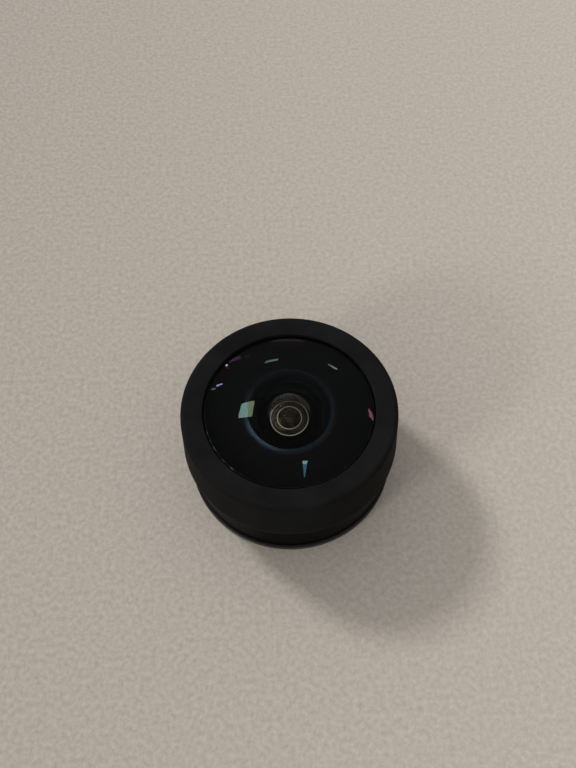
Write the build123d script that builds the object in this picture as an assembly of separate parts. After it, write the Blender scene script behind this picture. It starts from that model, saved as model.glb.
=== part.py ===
from build123d import *
import os
from math import cos, radians, sin, sqrt

# A compact wide-angle camera lens, in millimetres. It stands on its rear face,
# with the optical axis on +Z and the origin at the centre of that rear face.

# Mounting ring: a flange with a collar that is threaded inside
collar_wall = 0.9
collar_length = 3.6
foot_thickness = 1.3
foot_bevel = 0.3
gasket_thickness = 0.2
gasket_margin = 0.1

# Rear housing
housing_wall = 2.95
web_gap = 0.4
web_thickness = 1.4
band_height = 9.7
spigot_wall = 0.7

# Front bezel
bezel_gap = 0.3
bezel_wall = 1.6
bezel_flare = 0.5
bezel_fillet = 0.7
bezel_bevel = 0.25
lip_thickness = 1.5
lip_bevel = 0.15
band_step = 0.95
foot_step = 0.35

# Front element: a strongly curved meniscus with a blackened, bevelled rear seat
glass_radius = 14.85
glass_gap = 0.25
glass_ledge = 1.35
glass_flange_thickness = 1.8
dome_curve = 32.0
dome_drop = 0.4
bowl_curve = 8.2
bowl_radius = 6.55
bowl_bevel_width = 0.9
bowl_bevel_height = 0.4
seal_thickness = 0.4
seal_margin = 0.1
baffle_thickness = 0.2

# Front group: the small lenses that are loaded from the front
cell_radius = 5.6
cell_ledge = 1.0
second_ledge = 0.85
second_curve = 10.0
second_edge = 1.25
second_bowl_curve = 3.2
second_bowl_radius = 2.79
third_edge = 1.3
third_front_curve = 9.0
third_rear_curve = 14.0
stop_thickness = 0.3
stop_radius = 1.1
retainer_width = 0.95
retainer_thickness = 1.7
retainer_flare = 1.15
retainer_depth = 0.6

# Rear group: the lenses that are loaded from the rear
rear_cell_radius = 4.55
rear_ledge = 1.15
crown_curve = 16.0
crown_edge = 0.3
cement_curve = 9.0
flint_thickness = 0.4
rear_lens_curve = 15.0
rear_lens_edge = 0.65
rear_retainer_thickness = 0.65
rear_retainer_depth = 0.1

# Barrel
hub_wall = 2.3
barrel_flange_thickness = 2.9
barrel_flange_margin = 0.1
skirt_wall = 1.4
throat_margin = 0.05

# Body seal
ring_section = 0.34
ring_groove_depth = 0.6
ring_groove_height = 1.0
ring_height = 10.7

# Fasteners
screw_count = 4
screw_radius = 0.7
screw_head_radius = 1.2
screw_head_height = 0.7
screw_slot_reach = 0.8
screw_slot_width = 0.35
screw_slot_depth = 0.3
screw_slot_angle = 20
screw_tip_gap = 0.1
barrel_screw_reach = 4.2
mount_screw_reach = 2.2
screw_boss_wall = 1.1
notch_width = 0.8
notch_depth = 0.35
notch_angle = 35

# Clearances
fit = 0.1
lens_clearance = 0.05
thread_clearance = 0.1
screw_clearance = 0.02
bulge_clearance = 0.15
head_clearance = 0.15
head_sink = 0.1


def sag(curve, reach):
    """Depth of a sphere of radius curve at the distance reach from its axis."""
    return curve - sqrt(curve**2 - reach**2)


def line(*points):
    """Straight profile edges through (radius, height) points."""
    return Polyline(*[(radius, 0, height) for radius, height in points])


def bow(apex, reach, curve):
    """Profile arc from the axis out to reach; a negative curve opens upward."""
    side = 1 if curve > 0 else -1
    middle = apex - side * sag(abs(curve), reach / 2)
    end = apex - side * sag(abs(curve), reach)
    return ThreePointArc((0, 0, apex), (reach / 2, 0, middle), (reach, 0, end))


def turned(*stretches):
    """Solid of revolution about Z of a closed profile, given as its stretches in order."""
    profile = [edge for stretch in stretches for edge in stretch.edges()]
    return revolve(make_face(profile), Axis.Z)


def ring(inner, outer, bottom, top):
    """Plain washer."""
    return turned(line((inner, bottom), (outer, bottom), (outer, top), (inner, top), (inner, bottom)))


def rod(radius, bottom, top, at=(0, 0)):
    """Plain upright cylinder."""
    disc = Pos(at[0], at[1], bottom) * Circle(radius)
    return extrude(disc, top - bottom, dir=(0, 0, 1))


def around(count, radius, start=0.0):
    """Points evenly spaced on a circle, from the angle start in degrees."""
    angles = [radians(start + 360 * index / count) for index in range(count)]
    return [(radius * cos(angle), radius * sin(angle)) for angle in angles]


# Heights, stacked from the rear face up
gasket_top = foot_thickness + gasket_thickness
rear_recess = collar_length + web_gap
web_top = rear_recess + web_thickness
rear_retainer_bottom = rear_recess + rear_retainer_depth
rear_lens_bottom = rear_retainer_bottom + rear_retainer_thickness
rear_lens_top = rear_lens_bottom + rear_lens_edge
rear_aperture = rear_cell_radius - rear_ledge
rear_bulge = sag(rear_lens_curve, rear_aperture)
flint_bottom = rear_lens_top + rear_bulge + bulge_clearance
cement_apex = flint_bottom + flint_thickness
cement_edge = cement_apex + sag(cement_curve, rear_cell_radius)
crown_top = cement_edge + crown_edge
crown_bulge = sag(crown_curve, rear_aperture)
stop_bottom = crown_top + crown_bulge + bulge_clearance
stop_top = stop_bottom + stop_thickness
cell_aperture = cell_radius - cell_ledge
second_aperture = cell_radius - second_ledge
retainer_mouth = second_aperture + retainer_flare
third_bottom = stop_top + sag(third_rear_curve, cell_aperture) + bulge_clearance
third_top = third_bottom + third_edge
second_bottom = third_top + sag(third_front_curve, cell_aperture) + bulge_clearance
second_top = second_bottom + second_edge
retainer_top = second_top + retainer_thickness
barrel_top = retainer_top + retainer_depth
glass_seat = barrel_top + baffle_thickness
glass_ledge_height = glass_seat + glass_flange_thickness
lip_bottom = glass_ledge_height + seal_thickness
face = lip_bottom + lip_thickness
flange_bottom = barrel_top - barrel_flange_thickness
bezel_bottom = band_height + bezel_gap

# Radii, worked out from the glass outwards
glass_flange = glass_radius + glass_ledge
lip_bore = glass_radius + glass_gap
glass_pocket = glass_flange + fit
bevel_edge = bowl_radius + bowl_bevel_width
barrel_flange = glass_pocket + spigot_wall + fit + thread_clearance
spigot = barrel_flange + barrel_flange_margin
bezel_bore = spigot + thread_clearance
face_edge = bezel_bore + bezel_wall
bezel_edge = face_edge + bezel_flare
band = bezel_edge - band_step
foot = band + foot_step
skirt = spigot - spigot_wall - fit
recess_bore = band - housing_wall
collar = recess_bore - fit
mount_bore = collar - collar_wall
cell_bore = cell_radius + lens_clearance
rear_bore = rear_cell_radius + lens_clearance
retainer_radius = cell_radius + retainer_width
retainer_bore = retainer_radius + lens_clearance
hub = retainer_bore + hub_wall
hub_hole = hub + fit
throat = bevel_edge + throat_margin
boss_circle = (hub + skirt - skirt_wall) / 2
boss_radius = screw_radius + screw_boss_wall
foot_circle = (recess_bore + band) / 2
screw_hole = screw_radius + screw_clearance
head_hole = screw_head_radius + head_clearance
boss_places = around(screw_count, boss_circle, 45)
foot_places = around(screw_count, foot_circle)


def front_bezel():
    """Turned cap: flat face, slightly flared skirt, a lip over the glass ledge."""
    body = turned(
        line(
            (lip_bore, lip_bottom),
            (lip_bore, face - lip_bevel),
            (lip_bore + lip_bevel, face),
            (face_edge, face),
            (bezel_edge, bezel_bottom + bezel_bevel),
            (bezel_edge - bezel_bevel, bezel_bottom),
            (bezel_bore, bezel_bottom),
            (bezel_bore, barrel_top),
            (glass_pocket, barrel_top),
            (glass_pocket, lip_bottom),
            (lip_bore, lip_bottom),
        )
    )
    rims = body.edges().filter_by(GeomType.CIRCLE)
    corner = rims.sort_by(lambda rim: abs(rim.radius - face_edge) + abs(rim.center().Z - face))[0]
    return fillet(corner, bezel_fillet)


def front_seal():
    """Flat rubber ring between the bezel lip and the glass ledge."""
    return ring(lip_bore - seal_margin, glass_flange, glass_ledge_height, lip_bottom)


def front_element():
    """Domed meniscus with a stepped rim, a deep rear bowl and a bevelled rear edge."""
    dome_edge = face - dome_drop
    dome_apex = dome_edge + sag(dome_curve, glass_radius)
    bowl_edge = glass_seat + bowl_bevel_height
    bowl_apex = bowl_edge + sag(bowl_curve, bowl_radius)
    return turned(
        bow(dome_apex, glass_radius, dome_curve),
        line(
            (glass_radius, dome_edge),
            (glass_radius, glass_ledge_height),
            (glass_flange, glass_ledge_height),
            (glass_flange, glass_seat),
            (bevel_edge, glass_seat),
            (bowl_radius, bowl_edge),
        ),
        bow(bowl_apex, bowl_radius, bowl_curve),
        line((0, bowl_apex), (0, dome_apex)),
    )


def front_baffle():
    """Thin black shim behind the glass."""
    return ring(throat, glass_flange, barrel_top, glass_seat)


def main_barrel():
    """Turned barrel: a top flange, an outer skirt, a hub for the small lenses, screw bosses."""
    body = turned(
        line(
            (throat, barrel_top),
            (barrel_flange, barrel_top),
            (barrel_flange, flange_bottom),
            (skirt, flange_bottom),
            (skirt, ring_height + ring_groove_height / 2),
            (skirt - ring_groove_depth, ring_height + ring_groove_height / 2),
            (skirt - ring_groove_depth, ring_height - ring_groove_height / 2),
            (skirt, ring_height - ring_groove_height / 2),
            (skirt, web_top),
            (skirt - skirt_wall, web_top),
            (skirt - skirt_wall, flange_bottom),
            (hub, flange_bottom),
            (hub, rear_recess),
            (rear_bore, rear_recess),
            (rear_bore, crown_top),
            (rear_aperture + lens_clearance, crown_top),
            (rear_aperture + lens_clearance, stop_bottom),
            (cell_bore, stop_bottom),
            (cell_bore, second_top),
            (retainer_bore, second_top),
            (retainer_bore, retainer_top),
            (throat, barrel_top),
        )
    )
    for place in boss_places:
        body += rod(boss_radius, web_top, flange_bottom, place)
        body -= rod(screw_hole, web_top, web_top + barrel_screw_reach, place)
    return body


def notched(body, inner, outer, height):
    """Cuts two spanner notches across a retaining ring, at one of its flat faces."""
    middle = (inner + outer) / 2
    cutter = Pos(middle, 0, height) * Box(2 * (outer - inner), notch_width, 2 * notch_depth)
    for turn in (0, 180):
        body -= Rot(0, 0, notch_angle + turn) * cutter
    return body


def second_retainer():
    """Threaded ring with a conical mouth that holds the second element down."""
    body = turned(
        line(
            (second_aperture, second_top),
            (retainer_radius, second_top),
            (retainer_radius, retainer_top),
            (retainer_mouth, retainer_top),
            (second_aperture, second_top),
        )
    )
    return notched(body, retainer_mouth, retainer_radius, retainer_top)


def second_element():
    """Small negative meniscus."""
    apex = second_top + sag(second_curve, second_aperture)
    bowl_apex = second_bottom + sag(second_bowl_curve, second_bowl_radius)
    return turned(
        bow(apex, second_aperture, second_curve),
        line(
            (second_aperture, second_top),
            (cell_radius, second_top),
            (cell_radius, second_bottom),
            (second_bowl_radius, second_bottom),
        ),
        bow(bowl_apex, second_bowl_radius, second_bowl_curve),
        line((0, bowl_apex), (0, apex)),
    )


def second_spacer():
    """Conical spacer between the second and the third element."""
    top_bore = second_bowl_radius + fit
    bottom_bore = cell_aperture + lens_clearance
    return turned(
        line(
            (bottom_bore, third_top),
            (cell_radius, third_top),
            (cell_radius, second_bottom),
            (top_bore, second_bottom),
            (bottom_bore, third_top),
        )
    )


def third_element():
    """Biconvex lens with a flat ledge on each side."""
    front_apex = third_top + sag(third_front_curve, cell_aperture)
    rear_apex = third_bottom - sag(third_rear_curve, cell_aperture)
    return turned(
        bow(front_apex, cell_aperture, third_front_curve),
        line(
            (cell_aperture, third_top),
            (cell_radius, third_top),
            (cell_radius, third_bottom),
            (cell_aperture, third_bottom),
        ),
        bow(rear_apex, cell_aperture, -third_rear_curve),
        line((0, rear_apex), (0, front_apex)),
    )


def stop_spacer():
    """Ring between the third element and the aperture stop."""
    return ring(cell_aperture + lens_clearance, cell_radius, stop_top, third_bottom)


def stop_plate():
    """Aperture stop: a thin disc whose hole opens towards the front."""
    return turned(
        line(
            (stop_radius, stop_bottom),
            (cell_radius, stop_bottom),
            (cell_radius, stop_top),
            (stop_radius + stop_thickness, stop_top),
            (stop_radius, stop_bottom),
        )
    )


def doublet_crown():
    """Front half of the cemented pair."""
    apex = crown_top + crown_bulge
    return turned(
        bow(apex, rear_aperture, crown_curve),
        line(
            (rear_aperture, crown_top),
            (rear_cell_radius, crown_top),
            (rear_cell_radius, cement_edge),
        ),
        bow(cement_apex, rear_cell_radius, -cement_curve),
        line((0, cement_apex), (0, apex)),
    )


def doublet_flint():
    """Rear half of the cemented pair, flat behind."""
    return turned(
        bow(cement_apex, rear_cell_radius, -cement_curve),
        line(
            (rear_cell_radius, cement_edge),
            (rear_cell_radius, flint_bottom),
            (0, flint_bottom),
            (0, cement_apex),
        ),
    )


def rear_spacer():
    """Ring between the cemented pair and the rear element."""
    return ring(rear_aperture + lens_clearance, rear_cell_radius, rear_lens_top, flint_bottom)


def rear_element():
    """Plano-convex lens, flat towards the rear."""
    apex = rear_lens_top + rear_bulge
    return turned(
        bow(apex, rear_aperture, rear_lens_curve),
        line(
            (rear_aperture, rear_lens_top),
            (rear_cell_radius, rear_lens_top),
            (rear_cell_radius, rear_lens_bottom),
            (0, rear_lens_bottom),
            (0, apex),
        ),
    )


def rear_retainer():
    """Threaded ring with a conical mouth that holds the rear group."""
    body = turned(
        line(
            (rear_aperture, rear_lens_bottom),
            (rear_cell_radius, rear_lens_bottom),
            (rear_cell_radius, rear_retainer_bottom),
            (rear_aperture + rear_retainer_thickness / 2, rear_retainer_bottom),
            (rear_aperture, rear_lens_bottom),
        )
    )
    return notched(body, rear_aperture, rear_cell_radius, rear_retainer_bottom)


def base_shell():
    """Rear housing: an outer band, a threaded spigot and a web that carries the barrel."""
    body = turned(
        line(
            (recess_bore, gasket_top),
            (band, gasket_top),
            (band, band_height),
            (spigot, band_height),
            (spigot, flange_bottom),
            (skirt + fit, flange_bottom),
            (skirt + fit, web_top),
            (hub_hole, web_top),
            (hub_hole, rear_recess),
            (recess_bore, rear_recess),
            (recess_bore, gasket_top),
        )
    )
    for place in boss_places:
        body -= rod(screw_hole, rear_recess, web_top, place)
        body -= rod(head_hole, rear_recess, rear_recess + head_sink + screw_head_height, place)
    for place in foot_places:
        body -= rod(screw_hole, gasket_top, gasket_top + mount_screw_reach, place)
    return body


def body_o_ring():
    """Rubber ring in the groove of the barrel skirt."""
    centre = skirt - ring_groove_depth + ring_section + screw_clearance
    return Pos(0, 0, ring_height) * Torus(centre, ring_section)


def screw_from_below(centre, bottom, top):
    """Cheese-head screw that points up, with a cross recess in its head."""
    screw = rod(screw_head_radius, bottom, bottom + screw_head_height, centre)
    screw += rod(screw_radius, bottom, top, centre)
    slot = Box(2 * screw_slot_reach, screw_slot_width, 2 * screw_slot_depth)
    for turn in (0, 90):
        screw -= Pos(*centre, bottom) * Rot(0, 0, screw_slot_angle + turn) * slot
    return screw


def barrel_screws():
    """Screws driven from the rear recess up into the barrel bosses."""
    bottom = rear_recess + head_sink
    tip = web_top + barrel_screw_reach - screw_tip_gap
    return Compound(children=[screw_from_below(place, bottom, tip) for place in boss_places])


def mount_ring():
    """Foot flange and threaded collar, turned in one piece."""
    body = turned(
        line(
            (mount_bore, 0),
            (foot - foot_bevel, 0),
            (foot, foot_bevel),
            (foot, foot_thickness),
            (collar, foot_thickness),
            (collar, collar_length),
            (mount_bore, collar_length),
            (mount_bore, 0),
        )
    )
    for place in foot_places:
        body -= rod(screw_hole, 0, foot_thickness, place)
        body -= rod(head_hole, 0, head_sink + screw_head_height, place)
    return body


def mount_gasket():
    """Thin flat gasket between the mounting ring and the housing."""
    body = ring(recess_bore, band - gasket_margin, foot_thickness, gasket_top)
    for place in foot_places:
        body -= rod(screw_hole, foot_thickness, gasket_top, place)
    return body


def mount_screws():
    """Screws that hold the mounting ring, sunk into its flange."""
    tip = gasket_top + mount_screw_reach - screw_tip_gap
    return Compound(children=[screw_from_below(place, head_sink, tip) for place in foot_places])


sub_parts = [
    front_bezel,
    front_seal,
    front_element,
    front_baffle,
    main_barrel,
    second_retainer,
    second_element,
    second_spacer,
    third_element,
    stop_spacer,
    stop_plate,
    doublet_crown,
    doublet_flint,
    rear_spacer,
    rear_element,
    rear_retainer,
    base_shell,
    body_o_ring,
    barrel_screws,
    mount_ring,
    mount_gasket,
    mount_screws,
]

os.makedirs("parts", exist_ok=True)
for make in sub_parts:
    export_step(make(), f"parts/{make.__name__}.step")
print(f"face at {face:.3f}, face edge {face_edge:.3f}, bezel edge {bezel_edge:.3f}, foot {foot:.3f}")
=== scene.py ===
"""A compact wide-angle camera lens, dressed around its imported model.

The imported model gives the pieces, their places and their outer sizes. This script
turns finer meshes for the pieces that show, cuts the rear thread, and gives every
piece its finish. Lengths are in metres; MM turns millimetres into metres.
"""

import logging
import math
from dataclasses import dataclass, field
from enum import Enum
from functools import lru_cache
from typing import Callable, Optional, Sequence

import bmesh
import bpy
from mathutils import Matrix, Vector


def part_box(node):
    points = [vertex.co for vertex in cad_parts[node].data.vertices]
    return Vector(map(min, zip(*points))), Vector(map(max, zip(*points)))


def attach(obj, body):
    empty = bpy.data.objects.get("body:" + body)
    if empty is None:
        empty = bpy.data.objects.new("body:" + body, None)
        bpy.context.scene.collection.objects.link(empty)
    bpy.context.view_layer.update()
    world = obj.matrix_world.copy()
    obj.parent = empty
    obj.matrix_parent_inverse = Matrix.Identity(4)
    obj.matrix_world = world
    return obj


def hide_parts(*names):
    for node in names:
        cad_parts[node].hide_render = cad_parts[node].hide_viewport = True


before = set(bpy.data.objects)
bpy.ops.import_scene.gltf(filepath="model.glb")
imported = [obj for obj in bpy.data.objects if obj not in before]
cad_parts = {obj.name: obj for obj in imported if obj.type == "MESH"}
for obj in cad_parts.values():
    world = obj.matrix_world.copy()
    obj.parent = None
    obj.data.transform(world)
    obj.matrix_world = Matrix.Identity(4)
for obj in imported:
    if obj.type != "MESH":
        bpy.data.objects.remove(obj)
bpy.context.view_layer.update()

MM = 0.001
BODY = "root"
SEGMENTS = 192
SHARP_ANGLE = math.radians(28)
SEAT_GAP = 0.01 * MM
TINY = 1e-9

Point = tuple[float, float]
Colour = tuple[float, float, float]
log = logging.getLogger("lens")


def sag(curve: float, reach: float) -> float:
    """How far a sphere, whose radius is the curve, drops from its apex at a distance from its axis."""
    return curve - math.sqrt(curve**2 - reach**2)


def toward_sky(azimuth: float, elevation: float) -> Vector:
    """The unit direction at degrees from +Y towards +X and at degrees above the floor."""
    turn, rise = math.radians(azimuth), math.radians(elevation)
    return Vector((math.sin(turn) * math.cos(rise), math.cos(turn) * math.cos(rise), math.sin(rise)))


def scaled(colour: Colour, share: float) -> Colour:
    """A colour with each part multiplied by a share."""
    return tuple(share * part for part in colour)


@lru_cache
def top_of(node: str) -> float:
    """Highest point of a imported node."""
    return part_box(node)[1].z


@lru_cache
def bottom_of(node: str) -> float:
    """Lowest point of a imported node."""
    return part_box(node)[0].z


@lru_cache
def radius_of(node: str) -> float:
    """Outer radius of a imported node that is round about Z."""
    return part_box(node)[1].x


class Profile:
    """The outline that a turned piece is made from, one stretch after another.

    Each point is a (radius, height) pair, and each stretch up to a point has the
    number of the finish that it shows.
    """

    def __init__(self, radius: float, height: float) -> None:
        """Starts the outline at a point."""
        self.points: list[Point] = [(radius, height)]
        self.finishes: list[int] = []

    def to(self, radius: float, height: float, finish: int = 0, steps: int = 1) -> "Profile":
        """Adds a straight stretch.

        Args:
            radius: The end's distance from the axis.
            height: The end's height.
            finish: The number of the finish on this stretch.
            steps: How many pieces it is divided into.

        Returns:
            The same outline.
        """
        start = self.points[-1]
        for step in range(1, steps + 1):
            share = step / steps
            self.points.append(
                (start[0] + (radius - start[0]) * share, start[1] + (height - start[1]) * share)
            )
            self.finishes.append(finish)
        return self

    def bow(self, radius: float, curve: float, finish: int = 0, steps: int = 40) -> "Profile":
        """Adds a stretch of a sphere whose centre lies on the axis.

        Args:
            radius: The end's distance from the axis.
            curve: The sphere's radius, negative where it sags instead of rising.
            finish: The number of the finish on this stretch.
            steps: How many pieces it is divided into.

        Returns:
            The same outline.
        """
        start_radius, start_height = self.points[-1]
        side = 1 if curve > 0 else -1
        size = abs(curve)
        apex = start_height + side * sag(size, start_radius)
        first, last = math.asin(start_radius / size), math.asin(radius / size)
        for step in range(1, steps + 1):
            angle = first + (last - first) * step / steps
            reach = size * math.sin(angle)
            self.points.append((reach, apex - side * sag(size, reach)))
            self.finishes.append(finish)
        return self

    def level_arc(self, radius: float, height: float, finish: int = 0, steps: int = 12) -> "Profile":
        """Adds an arc that leaves the last point level.

        Args:
            radius: The end's distance from the axis.
            height: The end's height.
            finish: The number of the finish on this stretch.
            steps: How many pieces it is divided into.

        Returns:
            The same outline.
        """
        start_radius, start_height = self.points[-1]
        width, rise = radius - start_radius, height - start_height
        curve = (width**2 + rise**2) / (2 * abs(rise))
        reach = math.asin(abs(width) / curve)
        for step in range(1, steps + 1):
            angle = reach * step / steps
            across = math.copysign(curve * math.sin(angle), width)
            up = math.copysign(curve * (1 - math.cos(angle)), rise)
            self.points.append((start_radius + across, start_height + up))
            self.finishes.append(finish)
        return self

    def close(self) -> "Profile":
        """Adds the straight stretch back to the start."""
        return self.to(*self.points[0])

    def rounded(self, rounding: float, steps: int = 4) -> "Profile":
        """A copy whose corners are rounded, for outlines of straight stretches.

        Args:
            rounding: The radius of each corner, or less where a stretch is short.
            steps: How many pieces each rounded corner has.

        Returns:
            The new outline.
        """
        ring = self.points[:-1]
        most = 0.45
        result = Profile(0, 0)
        result.points, result.finishes = [], []
        for index, corner in enumerate(ring):
            before, after = ring[index - 1], ring[(index + 1) % len(ring)]
            here, back, ahead = Vector(corner), Vector(before), Vector(after)
            incoming, outgoing = here - back, ahead - here
            turn = incoming.angle(outgoing)
            cut = min(rounding * math.tan(turn / 2), most * incoming.length, most * outgoing.length)
            start, end = here - incoming.normalized() * cut, here + outgoing.normalized() * cut
            for step in range(steps + 1):
                share = step / steps
                spot = start.lerp(here, share).lerp(here.lerp(end, share), share)
                result.points.append((spot.x, spot.y))
                result.finishes.append(self.finishes[index if step else index - 1])
        result.finishes = result.finishes[1:]
        result.points.append(result.points[0])
        result.finishes.append(self.finishes[-1])
        return result


def turned_mesh(
    name: str,
    profile: Profile,
    relief: Optional[Callable[[float, float, float], float]] = None,
    segments: int = SEGMENTS,
) -> bpy.types.Mesh:
    """Makes the closed mesh of a turned piece.

    Args:
        name: The mesh's name.
        profile: Its outline, closed on itself or from the axis back to the axis.
        relief: Added to the radius, from (radius, height, angle), or None.
        segments: How many divisions it has around the axis.

    Returns:
        The mesh, smooth but for its real edges.
    """
    closed = math.dist(profile.points[0], profile.points[-1]) < TINY
    outline = profile.points[:-1] if closed else profile.points
    vertices: list[tuple[float, float, float]] = []
    rows: list[list[int]] = []
    for radius, height in outline:
        if radius < TINY:
            rows.append([len(vertices)] * segments)
            vertices.append((0.0, 0.0, height))
            continue
        rows.append(list(range(len(vertices), len(vertices) + segments)))
        for index in range(segments):
            angle = 2 * math.pi * index / segments
            reach = radius + (relief(radius, height, angle) if relief else 0.0)
            vertices.append((reach * math.cos(angle), reach * math.sin(angle), height))
    faces: list[tuple[int, ...]] = []
    finishes: list[int] = []
    count = len(rows) if closed else len(rows) - 1
    for row in range(count):
        low, high = rows[row], rows[(row + 1) % len(rows)]
        for index in range(segments):
            following = (index + 1) % segments
            corners = (low[index], low[following], high[following], high[index])
            faces.append(tuple(dict.fromkeys(corners)))
            finishes.append(profile.finishes[row])
    mesh = bpy.data.meshes.new(name)
    mesh.from_pydata(vertices, [], faces)
    mesh.polygons.foreach_set("material_index", finishes)
    mesh.polygons.foreach_set("use_smooth", [True] * len(faces))
    mesh.update()
    if signed_volume(mesh) < 0:
        mesh.flip_normals()
    mesh.set_sharp_from_angle(angle=SHARP_ANGLE)
    return mesh


def signed_volume(mesh: bpy.types.Mesh) -> float:
    """Volume inside a closed mesh, negative where its faces point inward.

    Args:
        mesh: The mesh.

    Returns:
        The volume in cubic metres.
    """
    shape = bmesh.new()
    shape.from_mesh(mesh)
    volume = shape.calc_volume(signed=True)
    shape.free()
    return volume


def place(
    name: str,
    mesh: bpy.types.Mesh,
    finishes: Sequence[bpy.types.Material],
    stands_for: str = "",
) -> bpy.types.Object:
    """Puts a piece into the scene, riding on the lens body.

    Args:
        name: The piece's name.
        mesh: Its mesh.
        finishes: Its materials, in the order of the profile's finish numbers.
        stands_for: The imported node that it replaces, if any.

    Returns:
        The new object.
    """
    piece = bpy.data.objects.new(name, mesh)
    bpy.context.scene.collection.objects.link(piece)
    for finish in finishes:
        mesh.materials.append(finish)
    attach(piece, BODY)
    if stands_for:
        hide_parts(stands_for)
    log.info("%s: %d faces", name, len(mesh.polygons))
    return piece


def dress(node: str, finish: bpy.types.Material) -> None:
    """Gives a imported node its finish.

    Args:
        node: The node's name.
        finish: The material.
    """
    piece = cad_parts[node]
    if not piece.material_slots:
        piece.data.materials.append(finish)
    for holder in piece.material_slots:
        holder.material = finish
    log.info("%s: packed shape, %s", node, finish.name)


class NodeSheet:
    """The node tree of a material or a world, with short calls that add and join nodes."""

    def __init__(self, holder: bpy.types.ID, kind: str = "Material") -> None:
        """Empties the holder's node tree but for an output.

        Args:
            holder: The new material or world.
            kind: The output's kind, Material or World.
        """
        self.holder = holder
        holder.use_nodes = True
        self.tree = holder.node_tree
        self.tree.nodes.clear()
        self.output = self.tree.nodes.new("ShaderNodeOutput" + kind)

    @classmethod
    def paint(cls, name: str) -> "NodeSheet":
        """Starts a new material of the given name."""
        return cls(bpy.data.materials.new(name))

    def add(self, kind: str, inputs: Optional[dict] = None, **settings: object) -> bpy.types.Node:
        """Adds a node.

        Args:
            kind: The node's type.
            inputs: Its inputs by name or number: plain values, or sockets to join.
            **settings: Its other settings.

        Returns:
            The node.
        """
        node = self.tree.nodes.new(kind)
        for key, value in settings.items():
            setattr(node, key, value)
        for key, value in (inputs or {}).items():
            if isinstance(value, bpy.types.NodeSocket):
                self.tree.links.new(value, node.inputs[key])
            else:
                node.inputs[key].default_value = value
        return node

    def math(self, operation: str, first: object, second: object = 0.0) -> bpy.types.NodeSocket:
        """The sum, product or the like of two numbers or sockets."""
        return self.add("ShaderNodeMath", {0: first, 1: second}, operation=operation).outputs[0]

    def ramp(
        self, factor: bpy.types.NodeSocket, stops: Sequence[tuple[float, Colour]]
    ) -> bpy.types.NodeSocket:
        """Adds a colour ramp.

        Args:
            factor: The socket that drives it.
            stops: Its (position, colour) stops, in order.

        Returns:
            The colour socket.
        """
        node = self.add("ShaderNodeValToRGB", {0: factor})
        ramp = node.color_ramp
        while len(ramp.elements) < len(stops):
            ramp.elements.new(0.5)
        for element, (position, colour) in zip(ramp.elements, stops):
            element.position = position
            element.color = (*colour, 1.0)
        return node.outputs[0]

    def noise(self, vector: bpy.types.NodeSocket, size: float, detail: float = 2.0) -> bpy.types.NodeSocket:
        """A noise from 0 to 1 at a point, its patches of a given size, with some octaves of detail."""
        settings = {"Vector": vector, "Scale": 1 / size, "Detail": detail, "Roughness": 0.55}
        return self.add("ShaderNodeTexNoise", settings).outputs[0]

    def place(self) -> bpy.types.NodeSocket:
        """The point on the object, in metres."""
        return self.add("ShaderNodeTexCoord").outputs["Object"]

    def axis(self, vector: bpy.types.NodeSocket, number: int) -> bpy.types.NodeSocket:
        """One of a vector's three parts."""
        return self.add("ShaderNodeSeparateXYZ", {0: vector}).outputs[number]

    def along(self, vector: bpy.types.NodeSocket, direction: Vector) -> bpy.types.NodeSocket:
        """How far a vector reaches along a direction."""
        inputs = {0: vector, 1: tuple(direction)}
        return self.add("ShaderNodeVectorMath", inputs, operation="DOT_PRODUCT").outputs["Value"]

    def reach(self) -> bpy.types.NodeSocket:
        """Works out the point's distance from the axis.

        Returns:
            The distance's socket, in metres.
        """
        spot = self.place()
        flat = self.add("ShaderNodeCombineXYZ", {0: self.axis(spot, 0), 1: self.axis(spot, 1)}).outputs[0]
        return self.add("ShaderNodeVectorMath", {0: flat}, operation="LENGTH").outputs["Value"]

    def round_place(self) -> bpy.types.NodeSocket:
        """The point as (radius, 0, height), the same all round the axis."""
        inputs = {0: self.reach(), 2: self.axis(self.place(), 2)}
        return self.add("ShaderNodeCombineXYZ", inputs).outputs[0]

    def bump(
        self, height: bpy.types.NodeSocket, depth: float, under: Optional[bpy.types.NodeSocket] = None
    ) -> bpy.types.NodeSocket:
        """Adds a bump.

        Args:
            height: The height's socket, from 0 to 1.
            depth: The depth in metres that a height of 1 stands for.
            under: The normal of a bump under this one, if any.

        Returns:
            The normal's socket.
        """
        settings = {"Strength": 1.0, "Distance": depth, "Height": height}
        if under is not None:
            settings["Normal"] = under
        return self.add("ShaderNodeBump", settings).outputs[0]

    def grain(self, size: float, depth: float) -> bpy.types.NodeSocket:
        """The normal of a fine grain of the given size and depth."""
        return self.bump(self.noise(self.place(), size), depth)

    def finish(self, kind: str, inputs: dict) -> bpy.types.ID:
        """Ends the tree with a shader of a kind and its inputs, and gives back the holder."""
        self.tree.links.new(self.add("ShaderNode" + kind, inputs).outputs[0], self.output.inputs[0])
        return self.holder


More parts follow.
